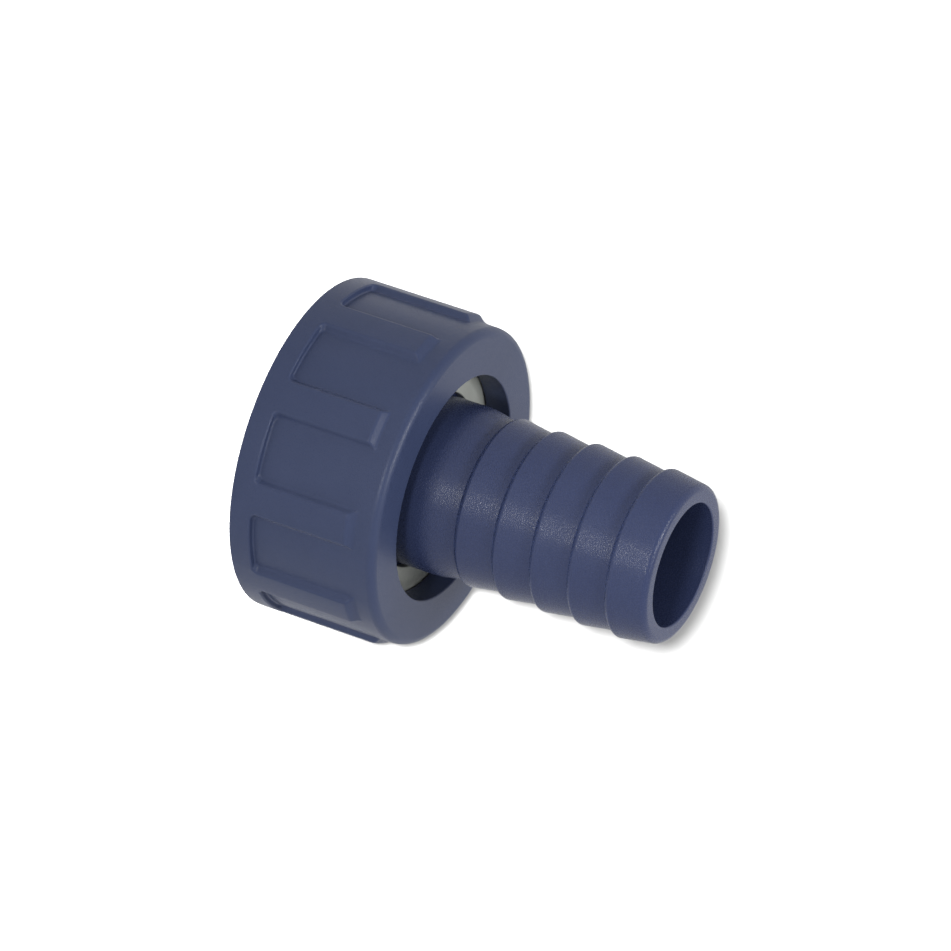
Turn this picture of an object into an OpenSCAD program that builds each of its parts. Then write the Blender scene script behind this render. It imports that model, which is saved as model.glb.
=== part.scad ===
// Swivel pipe connector: a ribbed union nut that turns freely on a barbed hose tail.
// It stands on the nut's open mouth at height 0, and the hose tail points straight up.

/* [Pipe thread] */
// Major diameter of the female pipe thread in the nut
thread_d = 41.91; // [40:0.01:46]
// Depth of the thread, from its root to its crest
thread_h = 1.48; // [1.1:0.01:1.6]
// Length of the threaded bore, from the mouth to the relief behind the thread
thread_len = 11.5; // [9:0.5:16]
// Length of the lead-in chamfer at the mouth
lead_in = 1.2; // [0.6:0.1:2]
// How much wider than the thread root the relief and the lead-in are, on the radius
relief_gap = 0.3; // [0.1:0.05:0.8]

/* [Union nut] */
// Wall outside the thread root, out to the floor of the grip panels
nut_wall = 4.5; // [3.5:0.1:7]
// Height of the grip over the floor of the panels
grip_h = 1.05; // [0.6:0.05:1.6]
// Number of grip lands round the nut
land_count = 10; // [8:1:12]
// Width of a land across its top
land_w = 5.1; // [4:0.1:6.5]
// Slope of a land's sides against its own centre plane, in degrees
land_draft = 28; // [10:1:35]
// Width of the plain band round the mouth
band_w = 3.6; // [2.5:0.1:6]
// Corner radius of the panels where they meet the band
panel_corner = 0.8; // [0.4:0.1:2.5]
// Distance from the foot of a land's bevelled end to the rear face
land_setback = 3.7; // [2.5:0.1:6]
// Thickness of the shoulder that closes the rear of the nut
shoulder_t = 4.3; // [3:0.1:6]
// How far the shoulder reaches in over the collar of the tail
shoulder_lap = 1.15; // [0.8:0.05:2]
// Rounding of the nut's rear outer edge
rear_round = 1.4; // [0.5:0.1:2.4]
// Rounding of the nut's outer edge at the mouth
mouth_round = 0.3; // [0.2:0.1:0.9]

/* [Hose tail] */
// Inside diameter of the hose, and the diameter of the tail at the foot of each barb
hose_d = 25.2; // [22:0.1:29]
// Height of the barbs over their foot
barb_h = 0.9; // [0.6:0.05:1.3]
// Number of barbs
barb_count = 5; // [3:1:7]
// Distance from one barb to the next
barb_pitch = 6.44; // [5.5:0.01:8]
// Length along the tail of a barb's steep back
barb_back = 0.6; // [0.2:0.05:1]
// Rounding of a barb's crest
crest_round = 0.5; // [0.2:0.05:0.7]
// Length from the last crest to the end of the tail
tip_len = 6.22; // [5:0.01:9]
// Rounding of the tail's outer end
tip_round = 0.7; // [0.3:0.1:1.2]
// Wall of the tail under the foot of a barb
tail_wall = 2.75; // [2:0.05:3.5]
// Length of the straight neck behind the collar
neck_len = 8.1; // [7:0.1:16]
// Length of the taper from the neck down to the foot of the first barb
neck_taper = 4.8; // [3:0.1:8]
// Rounding where the neck runs into its taper
neck_round = 1; // [0.2:0.1:2]
// Thickness of the collar that the nut pulls on
collar_t = 4; // [3:0.1:6]
// Clearance round the collar where it passes the thread crests, on the radius
collar_gap = 0.28; // [0.15:0.01:0.6]

/* [Gasket and slip ring] */
// Thickness of the flat gasket
gasket_t = 3; // [2:0.1:4]
// Radial width of the gasket's ring
gasket_w = 6.1; // [4:0.1:7.5]
// How far the gasket reaches out behind the last thread crest
gasket_hold = 0.15; // [0.1:0.01:0.25]
// Thickness of the slip ring between the collar and the shoulder
ring_t = 1.5; // [1:0.1:3]
// Clearance between the slip ring and the neck, on the radius
ring_gap = 0.55; // [0.4:0.05:0.9]
// Free play of the tail along the axis
end_play = 0.2; // [0.1:0.05:0.4]

/* [Hidden] */

// Small edge rounding of the moulded and punched pieces
edge = 0.25;
// Straight pieces in a rounded corner
corner_steps = 5;
// Overshoot of a cutter past the surface that it cuts
over = 1;

// Radii of the nut
root_r = thread_d / 2;
crest_r = root_r - thread_h;
relief_r = root_r + relief_gap;
panel_r = root_r + nut_wall;
grip_r = panel_r + grip_h;

// Radii of the tail, the gasket and the slip ring
collar_r = crest_r - collar_gap;
hole_r = collar_r - shoulder_lap;
foot_r = hose_d / 2;
barb_r = foot_r + barb_h;
flow_r = foot_r - tail_wall;
gasket_r = crest_r + gasket_hold;

// Heights of the stack inside the nut, from the mouth up
collar_z = thread_len + gasket_t;
ring_z = collar_z + collar_t;
shoulder_z = ring_z + ring_t + end_play;
nut_len = shoulder_z + shoulder_t;
land_z = nut_len - land_setback;

// Heights of the tail outside the nut
taper_z = ring_z + neck_len;
barb_z = taper_z + neck_taper + barb_back;
tip_z = barb_z + (barb_count - 1) * barb_pitch + tip_len;
tip_r = barb_r - barb_h * tip_len / (barb_pitch - barb_back);

function unit(v) = v / norm(v);

// The corner of an outline at b, between a and c, as an arc of radius r
function corner(a, b, c, r) =
    let (
        to_a = unit(a - b),
        to_c = unit(c - b),
        half = acos(to_a * to_c) / 2,
        centre = b + unit(to_a + to_c) * r / sin(half),
        from = unit(b + to_a * r / tan(half) - centre),
        to = unit(b + to_c * r / tan(half) - centre),
        turn = 180 - 2 * half
    )
    [for (i = [0 : corner_steps])
        let (t = i / corner_steps)
        centre + r * (from * sin((1 - t) * turn) + to * sin(t * turn)) / sin(turn)];

// A closed outline from points of [across, up, rounding]
function outline(points) =
    let (last = len(points) - 1)
    [for (i = [0 : last])
        let (
            a = points[i == 0 ? last : i - 1],
            b = points[i],
            c = points[i == last ? 0 : i + 1]
        )
        each b[2] > 0
            ? corner([a[0], a[1]], [b[0], b[1]], [c[0], c[1]], b[2])
            : [[b[0], b[1]]]];

// A ring of rectangular section with rounded edges
module washer(inner_r, outer_r, z, t, rounding) {
    translate([0, 0, z])
        rotate_extrude()
            polygon(outline([
                [inner_r, 0, rounding],
                [outer_r, 0, rounding],
                [outer_r, t, rounding],
                [inner_r, t, rounding]
            ]));
}

// A prism with the rounded outline of a panel's side, set beside a land, side being 1 or -1
module panel_side(side) {
    reach = grip_r * sin(360 / land_count);
    translate([grip_r, side * land_w / 2, 0])
        rotate([90, 0, 90 - side * land_draft])
            translate([0, 0, -reach])
                linear_extrude(2 * reach)
                    polygon(outline([
                        [0, band_w, panel_corner],
                        [side * reach, band_w, 0],
                        [side * reach, nut_len, 0],
                        [0, nut_len, 0]
                    ]));
}

// The cuts between the lands, down to the floor of the panels
module panels() {
    difference() {
        for (i = [0 : land_count - 1])
            rotate([0, 0, i * 360 / land_count])
                intersection() {
                    panel_side(1);
                    rotate([0, 0, 360 / land_count])
                        panel_side(-1);
                }
        cylinder(r = panel_r, h = nut_len + over, $fn = 180);
    }
}

// The nut turned without its panels: mouth, threaded bore, relief, shoulder and grip
module nut_blank() {
    rotate_extrude($fn = 180)
        polygon(outline([
            [relief_r, 0, 0],
            [grip_r, 0, mouth_round],
            [grip_r, land_z - grip_h, 0],
            [panel_r, land_z, 0],
            [panel_r, nut_len, rear_round],
            [hole_r, nut_len, edge],
            [hole_r, shoulder_z, edge],
            [relief_r, shoulder_z, edge],
            [relief_r, thread_len, 0],
            [crest_r, thread_len, 0],
            [crest_r, lead_in, 0]
        ]));
}

module union_nut() {
    color([0.27, 0.29, 0.40])
        difference() {
            nut_blank();
            panels();
        }
}

// Barbed tube with its neck and collar, in one moulding
module hose_tail() {
    barbs = [for (i = [0 : barb_count - 1])
        let (z = barb_z + i * barb_pitch)
        each [[foot_r, z - barb_back, 0], [barb_r, z, crest_round]]];
    color([0.29, 0.31, 0.43])
        rotate_extrude($fn = 180)
            polygon(outline(concat(
                [
                    [flow_r, collar_z, edge],
                    [collar_r, collar_z, edge],
                    [collar_r, ring_z, edge],
                    [barb_r, ring_z, edge],
                    [barb_r, taper_z, neck_round]
                ],
                barbs,
                [
                    [tip_r, tip_z, tip_round],
                    [flow_r, tip_z, edge]
                ]
            )));
}

// Pale ring that lets the shoulder turn on the collar
module slip_ring() {
    color([0.62, 0.64, 0.60])
        washer(barb_r + ring_gap, collar_r, ring_z, ring_t, edge);
}

// Flat rubber washer that seals on the pipe's end and is held behind the thread
module gasket() {
    color([0.10, 0.10, 0.11])
        washer(gasket_r - gasket_w, gasket_r, thread_len, gasket_t, edge / 2);
}

union_nut();
hose_tail();
slip_ring();
gasket();
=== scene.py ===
import math

import bmesh
import bpy
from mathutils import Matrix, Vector


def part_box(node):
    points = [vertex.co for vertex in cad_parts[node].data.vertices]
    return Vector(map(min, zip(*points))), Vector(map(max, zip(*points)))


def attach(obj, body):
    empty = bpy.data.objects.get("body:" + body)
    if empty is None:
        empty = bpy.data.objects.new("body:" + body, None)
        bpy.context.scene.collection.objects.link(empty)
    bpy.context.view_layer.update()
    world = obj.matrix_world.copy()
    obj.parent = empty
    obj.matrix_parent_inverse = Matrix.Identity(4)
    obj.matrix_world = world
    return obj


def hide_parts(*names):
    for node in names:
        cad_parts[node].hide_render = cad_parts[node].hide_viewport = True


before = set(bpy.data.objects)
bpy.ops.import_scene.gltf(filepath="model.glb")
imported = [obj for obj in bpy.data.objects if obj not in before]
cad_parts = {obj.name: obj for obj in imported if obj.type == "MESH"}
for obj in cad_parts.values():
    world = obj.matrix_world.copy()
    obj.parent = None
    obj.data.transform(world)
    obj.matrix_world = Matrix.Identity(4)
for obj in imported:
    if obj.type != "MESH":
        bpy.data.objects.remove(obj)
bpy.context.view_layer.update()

# Union nut
# The real nut is one injection moulding in glass-filled polypropylene. Its grip is ten raised lands
# between shallow panels, which run out at the back, and every edge of the mould is slightly rounded.
mm = 0.001
nut_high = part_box("union_nut")[1]
grip_r = nut_high.x
nut_len = nut_high.z
grip_h = 1.05 * mm
panel_r = grip_r - grip_h
thread_d = 41.91 * mm
thread_h = 1.48 * mm
root_r = thread_d / 2
crest_r = root_r - thread_h
relief_gap = 0.3 * mm
relief_r = root_r + relief_gap
hole_r = 18.045 * mm
thread_len = 11.5 * mm
lead_in = 1.2 * mm
shoulder_t = 4.3 * mm
shoulder_z = nut_len - shoulder_t
band_w = 3.6 * mm
land_count = 10
land_w = 5.1 * mm
land_draft = math.radians(28)
land_setback = 3.7 * mm
land_end = nut_len - land_setback
panel_corner = 0.8 * mm
mouth_round = 0.3 * mm
rear_round = 1.4 * mm
edge = 0.25 * mm
rim_round = 0.32 * mm

# Places are compared to within the slack. Cuts are made and points merged to within the weld. A cutter
# stands past what it cuts by the cut room.
slack = 0.01 * mm
weld = slack / 10
cut_room = 1 * mm


def edit(piece):
    """Opens a piece in edit mode, alone and with nothing selected."""
    if bpy.context.object and bpy.context.object.mode == "EDIT":
        bpy.ops.object.mode_set(mode="OBJECT")
    bpy.ops.object.select_all(action="DESELECT")
    piece.select_set(True)
    bpy.context.view_layer.objects.active = piece
    bpy.ops.object.mode_set(mode="EDIT")
    bpy.ops.mesh.select_all(action="DESELECT")


def choose(piece, kind, wanted):
    """Selects those vertices, edges or faces of the piece in edit mode for which wanted is true."""
    bpy.ops.mesh.select_mode(type={"verts": "VERT", "edges": "EDGE", "faces": "FACE"}[kind])
    bpy.ops.mesh.select_all(action="DESELECT")
    mesh = bmesh.from_edit_mesh(piece.data)
    for element in getattr(mesh, kind):
        if wanted(element):
            element.select_set(True)
    mesh.select_flush_mode()
    bmesh.update_edit_mesh(piece.data)


def done(piece):
    """Leaves edit mode with the mesh's doubles merged and its faces pointing outwards."""
    bpy.ops.mesh.select_all(action="SELECT")
    bpy.ops.mesh.remove_doubles(threshold=weld / 2)
    bpy.ops.mesh.normals_make_consistent(inside=False)
    bpy.ops.mesh.select_all(action="DESELECT")
    bpy.ops.object.mode_set(mode="OBJECT")


def draw_section(name, points):
    """Draws a closed outline through the points, vertex by vertex, and fills it with one face."""
    bpy.ops.object.select_all(action="DESELECT")
    bpy.ops.mesh.primitive_plane_add(size=mm, location=(0, 0, 0))
    piece = bpy.context.object
    piece.name = piece.data.name = name
    bpy.ops.object.mode_set(mode="EDIT")
    bpy.ops.mesh.select_mode(type="VERT")
    bpy.ops.mesh.merge(type="CENTER")
    bpy.ops.transform.translate(value=points[0])
    for before, after in zip(points, points[1:]):
        step = Vector(after) - Vector(before)
        bpy.ops.mesh.extrude_region_move(TRANSFORM_OT_translate={"value": step})
    bpy.ops.mesh.select_all(action="SELECT")
    bpy.ops.mesh.edge_face_add()
    return piece


def round_corners(piece, places, radius, segments):
    """Rounds the corners of a drawn section that lie at the places."""
    choose(piece, "verts", lambda v: any((v.co - Vector(p)).length < slack for p in places))
    bpy.ops.mesh.bevel(offset=radius, segments=segments, affect="VERTICES", profile=0.5)


def apply_modifier(piece, kind, **settings):
    """Adds a modifier with its settings and applies it."""
    bpy.ops.object.select_all(action="DESELECT")
    piece.select_set(True)
    bpy.context.view_layer.objects.active = piece
    modifier = piece.modifiers.new(kind.lower(), kind)
    for setting, value in settings.items():
        setattr(modifier, setting, value)
    bpy.ops.object.modifier_apply(modifier=modifier.name)


# One pitch of the wall is drawn as a straight rack: x runs round the nut, y inwards from the grip, z up.
pitch_angle = 2 * math.pi / land_count
pitch = grip_r * pitch_angle
start = -pitch / 2


def rack_point(radius, height):
    """The place in the rack of a point of the nut's outline."""
    return (start, grip_r - radius, height)


mouth_corner = rack_point(grip_r, 0)
rear_corner = rack_point(panel_r, nut_len)
hole_corners = [rack_point(hole_r, nut_len), rack_point(hole_r, shoulder_z)]
inner_corner = rack_point(relief_r, shoulder_z)
root_z = lead_in * (relief_r - root_r) / (relief_r - crest_r)
nut = draw_section("union_nut_moulding", [
    rack_point(relief_r, 0),
    mouth_corner,
    rack_point(grip_r, land_end - grip_h),
    rack_point(panel_r, land_end),
    rear_corner,
    *hole_corners,
    inner_corner,
    rack_point(relief_r, thread_len),
    rack_point(root_r, thread_len),
    rack_point(root_r, root_z),
])
round_corners(nut, [mouth_corner], mouth_round, segments=4)
round_corners(nut, [rear_corner], rear_round, segments=8)
round_corners(nut, hole_corners, edge, segments=3)
round_corners(nut, [inner_corner], edge, segments=3)
bpy.ops.mesh.select_all(action="SELECT")
bpy.ops.mesh.extrude_region_move(TRANSFORM_OT_translate={"value": (pitch, 0, 0)})
done(nut)

# The panel is cut with a tapered block, whose front corners are rounded.
facing = 0.99
land_half = math.asin(land_w / 2 / grip_r)
foot_half = math.asin((land_w / 2 + grip_h * math.tan(land_draft)) / panel_r)
panel_top = pitch / 2 - grip_r * land_half
panel_foot = pitch / 2 - grip_r * foot_half
panel_out = panel_top + cut_room * (panel_top - panel_foot) / grip_h
cutter_top = land_end + 2 * cut_room
bpy.ops.object.select_all(action="DESELECT")
bpy.ops.mesh.primitive_cube_add(
    size=1,
    location=(0, (grip_h - cut_room) / 2, (band_w + cutter_top) / 2),
    scale=(2 * panel_out, grip_h + cut_room, cutter_top - band_w),
)
cutter = bpy.context.object
bpy.ops.object.transform_apply(location=True, rotation=True, scale=True)
edit(cutter)
choose(cutter, "faces", lambda f: f.normal.y > facing)
bpy.ops.transform.resize(value=(panel_foot / panel_out, 1, 1))
choose(cutter, "edges", lambda e: all(v.co.z < band_w + slack for v in e.verts)
       and abs(e.verts[0].co.y - e.verts[1].co.y) > grip_h)
bpy.ops.mesh.bevel(offset=panel_corner, segments=6, affect="EDGES", profile=0.5)
done(cutter)
apply_modifier(nut, "BOOLEAN", operation="DIFFERENCE", solver="EXACT", object=cutter)
bpy.data.objects.remove(cutter)

# The mould's own edges: a small round along every rim and foot of the lands and panels.
flat = math.radians(0.5)
sharp = math.radians(20)
edit(nut)
bpy.ops.mesh.select_all(action="SELECT")
bpy.ops.mesh.dissolve_limited(angle_limit=flat)
choose(nut, "edges", lambda e: e.is_manifold and e.calc_face_angle() > sharp
       and all(abs(v.co.y - grip_h / 2) < grip_h / 2 + slack for v in e.verts)
       and all(band_w - slack < v.co.z < land_end + slack for v in e.verts)
       and any(abs(v.co.x) < pitch / 2 - slack for v in e.verts))
bpy.ops.mesh.bevel(offset=rim_round, segments=3, affect="EDGES", profile=0.5, clamp_overlap=True)

# The rack's end faces come off, and it is cut into columns, so that it joins its copies and bends evenly.
columns = 12
choose(nut, "faces", lambda f: abs(f.normal.x) > facing
       and abs(abs(f.calc_center_median().x) - pitch / 2) < slack)
bpy.ops.mesh.delete(type="FACE")
for cut in range(1, columns):
    bpy.ops.mesh.select_all(action="SELECT")
    cut_place = (start + pitch * cut / columns, 0, 0)
    bpy.ops.mesh.bisect(plane_co=cut_place, plane_no=(1, 0, 0), threshold=weld)
done(nut)

# Ten pitches in a row are bent round into the ring, and the ring is closed.
apply_modifier(nut, "ARRAY", count=land_count, use_relative_offset=False, use_constant_offset=True,
               constant_offset_displace=(pitch, 0, 0), use_merge_vertices=True, merge_threshold=weld)
apply_modifier(nut, "SIMPLE_DEFORM", deform_method="BEND", deform_axis="Z", angle=2 * math.pi)
edit(nut)
bpy.ops.mesh.select_all(action="SELECT")
bpy.ops.transform.translate(value=(0, -grip_r, 0))
done(nut)

# The thread is a right-handed helix, 11 turns to the inch, that stands in from the bore to the crests.
# It starts in the lead-in cone and stops at the relief behind it.
inch = 25.4
turns_per_inch = 11
thread_pitch = inch / turns_per_inch * mm
spare_turns = 2
turns = math.ceil(thread_len / thread_pitch) + spare_turns
thread_steps = 96
crest_half = 0.28 * mm
base_half = 0.95 * mm
thread_round = 0.18 * mm
sunk = 0.2 * mm
first_z = root_z - thread_pitch
thread_crests = [(crest_r, 0, first_z - crest_half), (crest_r, 0, first_z + crest_half)]
thread = draw_section("thread", [
    (root_r + sunk, 0, first_z - base_half),
    *thread_crests,
    (root_r + sunk, 0, first_z + base_half),
])
round_corners(thread, thread_crests, thread_round, segments=2)
bpy.ops.mesh.select_all(action="SELECT")
bpy.ops.mesh.delete(type="ONLY_FACE")
bpy.ops.object.mode_set(mode="OBJECT")
apply_modifier(thread, "SCREW", screw_offset=thread_pitch, iterations=turns, steps=thread_steps,
               render_steps=thread_steps, axis="Z", angle=2 * math.pi, use_smooth_shade=True)
edit(thread)
for height, away in ((root_z, -1), (thread_len, 1)):
    bpy.ops.mesh.select_all(action="SELECT")
    bpy.ops.mesh.bisect(plane_co=(0, 0, height), plane_no=(0, 0, away), use_fill=True,
                        clear_outer=True, threshold=weld)
done(thread)

# The lead-in is cut through the first turns with a tapered tool.
taper = (relief_r - crest_r) / lead_in
bpy.ops.object.select_all(action="DESELECT")
bpy.ops.mesh.primitive_cone_add(
    vertices=thread_steps,
    radius1=relief_r + cut_room * taper,
    radius2=crest_r - cut_room * taper,
    depth=lead_in + 2 * cut_room,
    location=(0, 0, lead_in / 2),
)
tool = bpy.context.object
bpy.ops.object.transform_apply(location=True, rotation=True, scale=True)
apply_modifier(thread, "BOOLEAN", operation="DIFFERENCE", solver="EXACT", object=tool)
bpy.data.objects.remove(tool)
edit(thread)
done(thread)

# Thread and nut become one piece, smooth but for its creases.
nut_crease = math.radians(50)
bpy.ops.object.select_all(action="DESELECT")
thread.select_set(True)
nut.select_set(True)
bpy.context.view_layer.objects.active = nut
bpy.ops.object.join()
bpy.ops.object.shade_smooth_by_angle(angle=nut_crease)
apply_modifier(nut, "WEIGHTED_NORMAL", mode="FACE_AREA", weight=50, keep_sharp=True)


def hex_colour(text):
    """An sRGB hex value as the linear colour that a socket takes, by the sRGB standard's own curve."""
    parts = [int(text[i:i + 2], 16) / 255 for i in (1, 3, 5)]
    return (*[p / 12.92 if p <= 0.04045 else ((p + 0.055) / 1.055) ** 2.4 for p in parts], 1)


def add_node(owner, kind, inputs=None, **settings):
    """A new node of a material or world: its settings, and values or links for its inputs."""
    node = owner.node_tree.nodes.new(kind)
    for setting, value in settings.items():
        setattr(node, setting, value)
    for name, value in (inputs or {}).items():
        if isinstance(value, bpy.types.NodeSocket):
            owner.node_tree.links.new(value, node.inputs[name])
        else:
            node.inputs[name].default_value = value
    return node


def wire_surface(material, tint, rough, bump):
    """Joins the tint, the roughness and the relief of a material to its shader, which it returns."""
    shader = material.node_tree.nodes["Principled BSDF"]
    links = material.node_tree.links
    links.new(tint.outputs["Result"], shader.inputs["Base Color"])
    links.new(rough.outputs["Result"], shader.inputs["Roughness"])
    links.new(bump.outputs["Normal"], shader.inputs["Normal"])
    return shader


def moulded_polypropylene(name, base, pale, grain_depth, smoothest, roughest, sheen):
    """Injection-moulded polypropylene from a spark-eroded mould: matt, with a fine even grain that
    breaks the highlight into specks, and faint clouds where the colour flowed unevenly. The real
    grain is about 0.1 mm, and is drawn twice as coarse so that it shows."""
    grain_size = 0.2 * mm
    cloud_size = 9 * mm
    material = bpy.data.materials.new(name)
    material.use_nodes = True
    place = add_node(material, "ShaderNodeTexCoord").outputs["Object"]
    cloud = add_node(material, "ShaderNodeTexNoise", {
        "Vector": place, "Scale": 1 / cloud_size, "Detail": 4})
    tint = add_node(material, "ShaderNodeMix", {
        "Factor": cloud.outputs["Fac"], "A": hex_colour(base), "B": hex_colour(pale)}, data_type="RGBA")
    grain = add_node(material, "ShaderNodeTexVoronoi", {
        "Vector": place, "Scale": 1 / grain_size}, feature="F1").outputs["Distance"]
    rough = add_node(material, "ShaderNodeMapRange", {
        "Value": grain, "From Min": 0.1, "From Max": 0.8, "To Min": smoothest, "To Max": roughest})
    bump = add_node(material, "ShaderNodeBump", {"Height": grain, "Strength": 1, "Distance": grain_depth})
    shader = wire_surface(material, tint, rough, bump)
    shader.inputs["IOR"].default_value = 1.49
    shader.inputs["Specular IOR Level"].default_value = sheen
    return material


# The nut's grain is shallower than the tail's, and its gloss more even.
nut.data.materials.clear()
nut.data.materials.append(moulded_polypropylene(
    "moulded_polypropylene_nut",
    base="#303954",
    pale="#363f5b",
    grain_depth=0.014 * mm,
    smoothest=0.24,
    roughest=0.46,
    sheen=0.2,
))
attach(nut, "nut")
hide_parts("union_nut")

# Hose tail
# One moulding in the same polypropylene: a collar that the nut pulls on, a plain neck, five barbs
# that lean towards the end, and a bore with one diameter all the way through.
tail_low, tail_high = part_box("hose_tail")
collar_r = tail_high.x
collar_z = tail_low.z
tip_z = tail_high.z
collar_t = 4 * mm
ring_z = collar_z + collar_t
neck_len = 8.1 * mm
taper_z = ring_z + neck_len
neck_taper = 4.8 * mm
hose_d = 25.2 * mm
foot_r = hose_d / 2
barb_h = 0.9 * mm
barb_r = foot_r + barb_h
tail_wall = 2.75 * mm
flow_r = foot_r - tail_wall
barb_count = 5
barb_pitch = 6.44 * mm
barb_back = 0.6 * mm
barb_z = taper_z + neck_taper + barb_back
tip_len = tip_z - barb_z - (barb_count - 1) * barb_pitch
tip_r = barb_r - (barb_r - foot_r) * tip_len / (barb_pitch - barb_back)
crest_round = 0.35 * mm
foot_round = 0.1 * mm
neck_round = 1 * mm
tip_round = 0.9 * mm
barb_feet = [(foot_r, 0, barb_z + i * barb_pitch - barb_back) for i in range(barb_count)]
barb_crests = [(barb_r, 0, barb_z + i * barb_pitch) for i in range(barb_count)]
collar_edges = [(flow_r, 0, collar_z), (collar_r, 0, collar_z), (collar_r, 0, ring_z), (barb_r, 0, ring_z)]
neck_end = (barb_r, 0, taper_z)
tip_outer = (tip_r, 0, tip_z)
tip_inner = (flow_r, 0, tip_z)
tail = draw_section("hose_tail_moulding", [
    *collar_edges,
    neck_end,
    *[point for barb in zip(barb_feet, barb_crests) for point in barb],
    tip_outer,
    tip_inner,
])
round_corners(tail, barb_crests, crest_round, segments=5)
round_corners(tail, barb_feet, foot_round, segments=2)
round_corners(tail, [neck_end], neck_round, segments=4)
round_corners(tail, collar_edges, edge, segments=3)
round_corners(tail, [tip_outer], tip_round, segments=6)
round_corners(tail, [tip_inner], edge, segments=3)
bpy.ops.mesh.select_all(action="SELECT")
bpy.ops.mesh.delete(type="ONLY_FACE")
bpy.ops.mesh.select_all(action="SELECT")
bpy.ops.mesh.spin(steps=144, angle=2 * math.pi, center=(0, 0, 0), axis=(0, 0, 1))
done(tail)
tail_crease = math.radians(60)
bpy.ops.object.shade_smooth_by_angle(angle=tail_crease)
apply_modifier(tail, "WEIGHTED_NORMAL", mode="FACE_AREA", weight=50, keep_sharp=True)
tail.data.materials.append(moulded_polypropylene(
    "moulded_polypropylene_tail",
    base="#2e3655",
    pale="#343d5c",
    grain_depth=0.028 * mm,
    smoothest=0.08,
    roughest=0.38,
    sheen=0.21,
))
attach(tail, "tail")
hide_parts("hose_tail")

# Slip ring
# A flat ring of uncoloured acetal that lies on the collar, so that the nut's shoulder turns on it.
# It was cut from tube, which leaves fine turning marks round its faces.
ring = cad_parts["slip_ring"]

# Turned acetal is pale and waxy: the marks of the tool spread its highlight, and handling greys it in
# patches. Real marks are about 0.3 mm apart, and are drawn six times as coarse so that they show.
# node_ring is the gap that the node draws at a scale of 1.
mark_gap = 1.885 * mm
node_ring = 2 * math.pi / 20
handling_size = 4 * mm
acetal = bpy.data.materials.new("turned_acetal")
acetal.use_nodes = True
acetal_place = add_node(acetal, "ShaderNodeTexCoord").outputs["Object"]
tool_marks = add_node(acetal, "ShaderNodeTexWave", {
    "Vector": acetal_place, "Scale": node_ring / mark_gap, "Distortion": 1.5, "Detail": 2,
    "Detail Scale": 0.3}, wave_type="RINGS", rings_direction="Z").outputs["Fac"]
handling = add_node(acetal, "ShaderNodeTexNoise", {
    "Vector": acetal_place, "Scale": 1 / handling_size, "Detail": 5})
acetal_tint = add_node(acetal, "ShaderNodeMix", {
    "Factor": handling.outputs["Fac"], "A": hex_colour("#898c87"), "B": hex_colour("#9ea19b")},
    data_type="RGBA")
acetal_rough = add_node(acetal, "ShaderNodeMapRange", {"Value": tool_marks, "To Min": 0.36, "To Max": 0.52})
acetal_bump = add_node(acetal, "ShaderNodeBump", {
    "Height": tool_marks, "Strength": 0.6, "Distance": 0.02 * mm})
acetal_shader = wire_surface(acetal, acetal_tint, acetal_rough, acetal_bump)
acetal_shader.inputs["IOR"].default_value = 1.48
ring.data.materials.clear()
ring.data.materials.append(acetal)

# Gasket
# A flat washer of black rubber, punched from sheet. The end of the pipe presses it on the tail's
# collar, and it is held in the relief behind the thread.
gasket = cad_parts["gasket"]

# Punched rubber is dull and nearly black, with a powdery bloom that greys it in patches.
rubber_grain_size = 0.4 * mm
bloom_size = 5 * mm
rubber = bpy.data.materials.new("punched_rubber")
rubber.use_nodes = True
rubber_place = add_node(rubber, "ShaderNodeTexCoord").outputs["Object"]
rubber_grain = add_node(rubber, "ShaderNodeTexNoise", {
    "Vector": rubber_place, "Scale": 1 / rubber_grain_size, "Detail": 3})
bloom = add_node(rubber, "ShaderNodeTexNoise", {
    "Vector": rubber_place, "Scale": 1 / bloom_size, "Detail": 5}).outputs["Fac"]
rubber_tint = add_node(rubber, "ShaderNodeMix", {
    "Factor": bloom, "A": hex_colour("#161617"), "B": hex_colour("#2a2a2b")}, data_type="RGBA")
rubber_rough = add_node(rubber, "ShaderNodeMapRange", {
    "Value": bloom, "From Min": 0.3, "From Max": 0.7, "To Min": 0.5, "To Max": 0.75})
rubber_bump = add_node(rubber, "ShaderNodeBump", {
    "Height": rubber_grain.outputs["Fac"], "Strength": 1, "Distance": 0.05 * mm})
rubber_shader = wire_surface(rubber, rubber_tint, rubber_rough, rubber_bump)
rubber_shader.inputs["IOR"].default_value = 1.52
gasket.data.materials.clear()
gasket.data.materials.append(rubber)

# Camera
# A long lens looks down on the standing connector from 22 degrees. The camera is turned on its side,
# so that the hose tail points down to the right, as the picture was framed.
camera_data = bpy.data.cameras.new("camera")
camera_data.lens = 268.8
camera_data.sensor_width = 36
camera = bpy.data.objects.new("camera", camera_data)
bpy.context.scene.collection.objects.link(camera)
camera.location = (-0.1253, -0.99672, 0.43892)
camera.rotation_euler = [math.radians(turn) for turn in (-37.804, -61.314, 124.487)]
bpy.context.scene.camera = camera
bpy.context.scene.view_settings.view_transform = "Standard"

# Floor
# A plain white sheet of matt paper, with nothing else in the picture. It shows as white to the camera and
# in reflections, and still takes the connector's shadow. It ends near, so that low views stay white.
floor_size = 1.1
bpy.ops.object.select_all(action="DESELECT")
bpy.ops.mesh.primitive_plane_add(size=floor_size, location=(0, 0, 0))
floor = bpy.context.object
floor.name = "floor"


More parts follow.
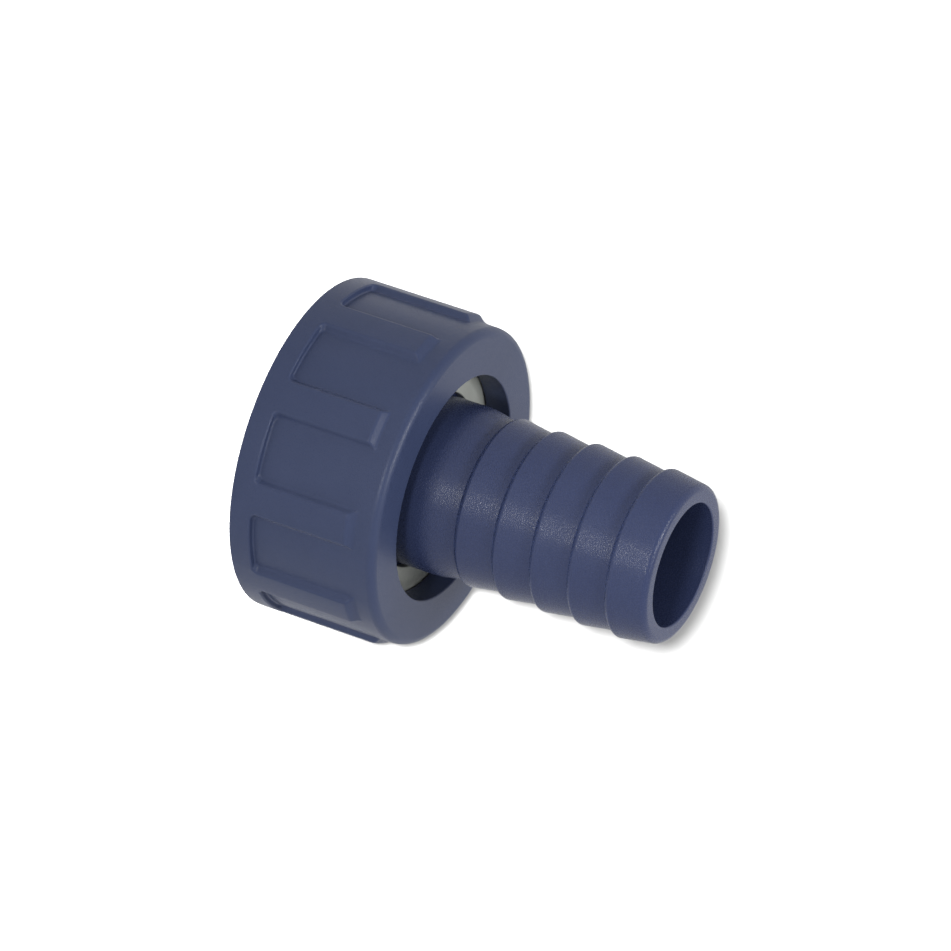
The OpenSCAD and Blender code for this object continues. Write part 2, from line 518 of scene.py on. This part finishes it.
def background_rays(owner):
    """For a surface or world that forms the background: which rays come from the camera, and which
    show it in any way, also mirrored or through glass."""
    path = add_node(owner, "ShaderNodeLightPath").outputs
    mirrored = add_node(owner, "ShaderNodeMath", {
        0: path["Is Camera Ray"], 1: path["Is Glossy Ray"]}, operation="MAXIMUM")
    shown = add_node(owner, "ShaderNodeMath", {
        0: mirrored.outputs[0], 1: path["Is Transmission Ray"]}, operation="MAXIMUM")
    return path["Is Camera Ray"], shown.outputs[0]


# Only what the camera sees of the paper is lifted, so that it throws little light on the connector.
white = (1, 1, 1, 1)
paper_glow = 0.06
paper_tone = 0.13
paper_lift = 0.17
paper = bpy.data.materials.new("white_paper")
paper.use_nodes = True
paper.node_tree.nodes.remove(paper.node_tree.nodes["Principled BSDF"])
paper_seen, paper_shown = background_rays(paper)
glow_level = add_node(paper, "ShaderNodeMath", {0: paper_shown, 1: paper_glow}, operation="MULTIPLY")
glow = add_node(paper, "ShaderNodeEmission", {"Color": white, "Strength": glow_level.outputs[0]})
tone = add_node(paper, "ShaderNodeMath", {
    0: paper_seen, 1: paper_lift, 2: paper_tone}, operation="MULTIPLY_ADD")
matt = add_node(paper, "ShaderNodeBsdfDiffuse", {"Color": tone.outputs[0]})
glow_and_matt = add_node(paper, "ShaderNodeAddShader", {0: glow.outputs[0], 1: matt.outputs[0]})
paper.node_tree.links.new(
    glow_and_matt.outputs[0], paper.node_tree.nodes["Material Output"].inputs["Surface"])
floor.data.materials.append(paper)

# Light
# A white surround lights everything, weaker on one side and from above. A low lamp in front brings out
# the grain of the hose tail, a long one overhead draws the rims of the nut, and one beside the camera
# reaches only the floor, where it draws the narrow shadow.
strong_side = (0.85, 0, -0.6)
weakest = 0.2
strongest = 1.02
world = bpy.data.worlds.new("studio")
bpy.context.scene.world = world
world.use_nodes = True
way = add_node(world, "ShaderNodeTexCoord").outputs["Object"]
side = add_node(world, "ShaderNodeVectorMath", {0: way, 1: strong_side}, operation="DOT_PRODUCT")
side_level = add_node(world, "ShaderNodeMapRange", {
    "Value": side.outputs["Value"], "From Min": -1, "To Min": weakest, "To Max": strongest})
world_shown = background_rays(world)[1]
world_level = add_node(world, "ShaderNodeMath", {
    0: world_shown, 1: side_level.outputs["Result"]}, operation="MAXIMUM")
background = world.node_tree.nodes["Background"]
background.inputs["Color"].default_value = white
world.node_tree.links.new(world_level.outputs[0], background.inputs["Strength"])

aim = Vector((0, 0, 0.03))


def area_lamp(name, place, **settings):
    """An area lamp at a place, with its settings, turned to the connector."""
    data = bpy.data.lights.new(name, "AREA")
    for setting, value in settings.items():
        setattr(data, setting, value)
    lamp = bpy.data.objects.new(name, data)
    bpy.context.scene.collection.objects.link(lamp)
    lamp.location = place
    lamp.rotation_euler = (aim - lamp.location).to_track_quat("-Z", "Y").to_euler()
    return lamp


area_lamp("key", (0.04, -1.08, 0.2), shape="DISK", size=0.16, energy=3.4)
area_lamp("top", (-0.22, -0.16, 0.97), shape="RECTANGLE", size=0.65, size_y=0.16, energy=7.5)
beside_camera = camera.rotation_euler.to_matrix() @ Vector((-0.011, 0.011, 0))
shadow = area_lamp("floor_shadow", camera.location + beside_camera, shape="DISK", size=0.026, energy=190)
shadow.rotation_euler = camera.rotation_euler
only_floor = bpy.data.collections.new("only_floor")
only_floor.objects.link(floor)
shadow.light_linking.receiver_collection = only_floor
